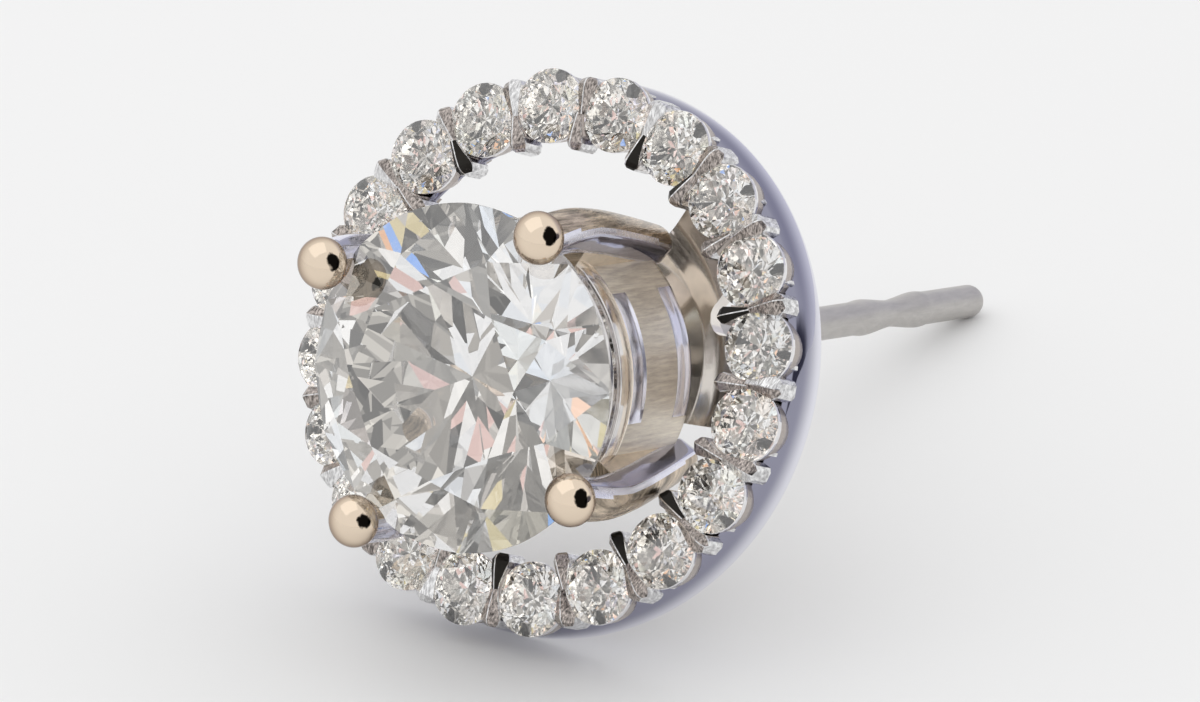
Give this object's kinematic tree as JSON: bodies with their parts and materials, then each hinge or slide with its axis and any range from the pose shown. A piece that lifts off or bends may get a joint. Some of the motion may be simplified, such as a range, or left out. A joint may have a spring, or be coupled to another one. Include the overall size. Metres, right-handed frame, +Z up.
{
  "type": "stud earring",
  "caption": "Stud earring: a large round stone in a four-prong basket on a long post, with a loose halo jacket of small round stones on cross arms.",
  "frame": {"origin": "centre of the bounding box in plan, at the ground the earring rests on", "axes": "+Z up, the stone faces -Y and tilts up, the post runs back along +Y down to the ground"},
  "size_m": [0.01, 0.0186, 0.0093],
  "materials": {
    "clear_stone": "polished facets",
    "pale_gold": "brushed band, polished bevels",
    "white_gold": "rhodium polish"
  },
  "bodies": {
    "stud": {"centre_stone": "clear_stone", "stud_setting": "pale_gold"},
    "jacket": {"halo_jacket": "white_gold"}
  },
  "joints": [
    {"name": "jacket_slide", "type": "slide", "parent": "stud", "child": "jacket", "axis": [0, 0.9566, -0.2914], "range_m": [0, 0.016]}
  ]
}
